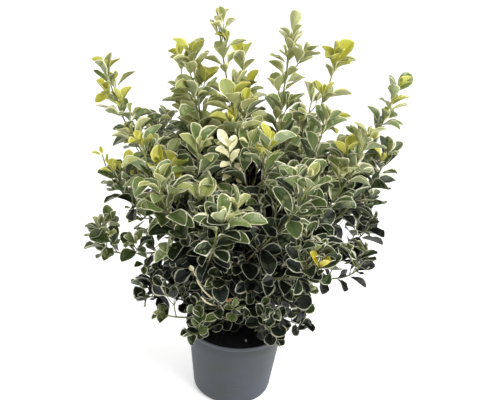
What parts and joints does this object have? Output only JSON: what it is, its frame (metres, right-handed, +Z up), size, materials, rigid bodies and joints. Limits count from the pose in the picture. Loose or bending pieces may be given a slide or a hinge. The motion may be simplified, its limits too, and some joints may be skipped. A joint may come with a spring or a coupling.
{
  "type": "potted variegated japanese spindle shrub",
  "caption": "Bushy upright evergreen shrub with cream-edged oval leaves in opposite pairs, standing in a round tapered grey nursery pot filled with dark compost.",
  "frame": {"origin": "middle of the pot's flat underside, on the surface that the pot stands on", "axes": "+Z up along the pot's axis and the trunk; +X to the right and +Y away as the picture shows the plant"},
  "size_m": [0.7837, 0.701, 1.0141],
  "materials": {
    "pot_plastic": "matt grey",
    "compost": "dark and crumbly",
    "bark": "matt green-brown bark",
    "leaf": "leathery, slightly glossy"
  },
  "bodies": {
    "root": {"bough_back": "bark", "bough_centre": "bark", "bough_front_left": "bark", "bough_front_right": "bark", "bough_left": "bark", "bough_left_back": "bark", "bough_right": "bark", "bough_right_back": "bark", "bough_right_front": "bark", "compost": "compost", "foliage_back_shoulder": "leaf", "foliage_back_side": "leaf", "foliage_back_spire": "leaf", "foliage_crest_near": "leaf", "foliage_front_crest": "leaf", "foliage_front_left_inner": "leaf", "foliage_front_left_shoulder": "leaf", "foliage_front_right_shoulder": "leaf", "foliage_front_right_side": "leaf", "foliage_front_side": "leaf", "foliage_left_back_side": "leaf", "foliage_left_back_spire": "leaf", "foliage_left_crest": "leaf", "foliage_left_shoulder": "leaf", "foliage_left_side": "leaf", "foliage_left_spire": "leaf", "foliage_low_01": "leaf", "foliage_low_02": "leaf", "foliage_low_03": "leaf", "foliage_low_04": "leaf", "foliage_low_05": "leaf", "foliage_low_06": "leaf", "foliage_low_07": "leaf", "foliage_low_08": "leaf", "foliage_low_09": "leaf", "foliage_low_10": "leaf", "foliage_low_upper_01": "leaf", "foliage_low_upper_02": "leaf", "foliage_low_upper_03": "leaf", "foliage_low_upper_04": "leaf", "foliage_low_upper_05": "leaf", "foliage_low_upper_06": "leaf", "foliage_low_upper_07": "leaf", "foliage_low_upper_08": "leaf", "foliage_right_back_shoulder": "leaf", "foliage_right_back_side": "leaf", "foliage_right_back_spire": "leaf", "foliage_right_front_crest": "leaf", "foliage_right_front_shoulder": "leaf", "foliage_right_front_side": "leaf", "foliage_right_shoulder": "leaf", "foliage_right_side": "leaf", "foliage_right_spire": "leaf", "foliage_spire_tall": "leaf", "foliage_spire_twin": "leaf", "pot": "pot_plastic", "trunk": "bark"}
  },
  "joints": []
}
